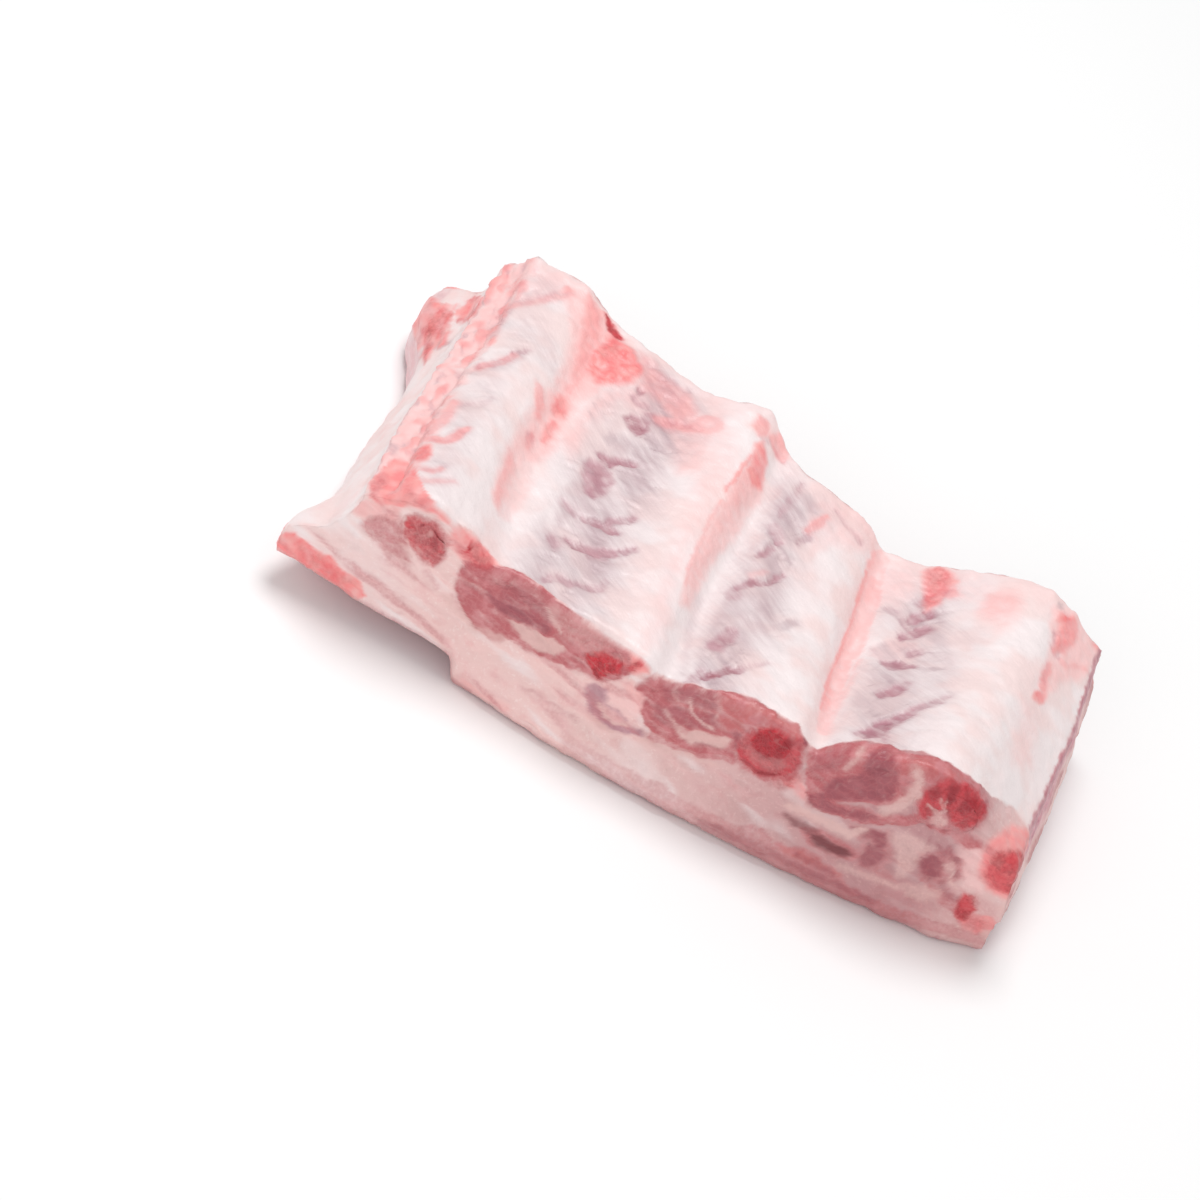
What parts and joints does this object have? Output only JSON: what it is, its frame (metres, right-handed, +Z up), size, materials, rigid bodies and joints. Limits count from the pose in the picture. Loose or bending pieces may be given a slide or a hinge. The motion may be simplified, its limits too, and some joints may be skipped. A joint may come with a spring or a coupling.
{
  "type": "rack of ribs",
  "caption": "Raw pork rib rack, membrane side up, sawn straight across the bones at both cuts, with muscle between the ribs, a fat layer and a thin outer muscle below.",
  "frame": {"origin": "centre of the bounding box's footprint, on the underside that the rack rests on", "axes": "+X along the rack across the ribs, +Y along the ribs from the front cut to the back cut, +Z up through the membrane"},
  "size_m": [0.1758, 0.113, 0.0418],
  "materials": {
    "rib_meat": "raw muscle under a thin moist white membrane",
    "bone": "sawn rib bone with crimson porous marrow",
    "fat": "pale pink soft fat with streaks",
    "outer_meat": "moist raw muscle with fat marbling"
  },
  "bodies": {
    "root": {"rib_meat": "rib_meat", "rib_bone_1": "bone", "rib_bone_2": "bone", "rib_bone_3": "bone", "rib_bone_4": "bone", "fat_layer": "fat", "outer_meat": "outer_meat"}
  },
  "joints": []
}
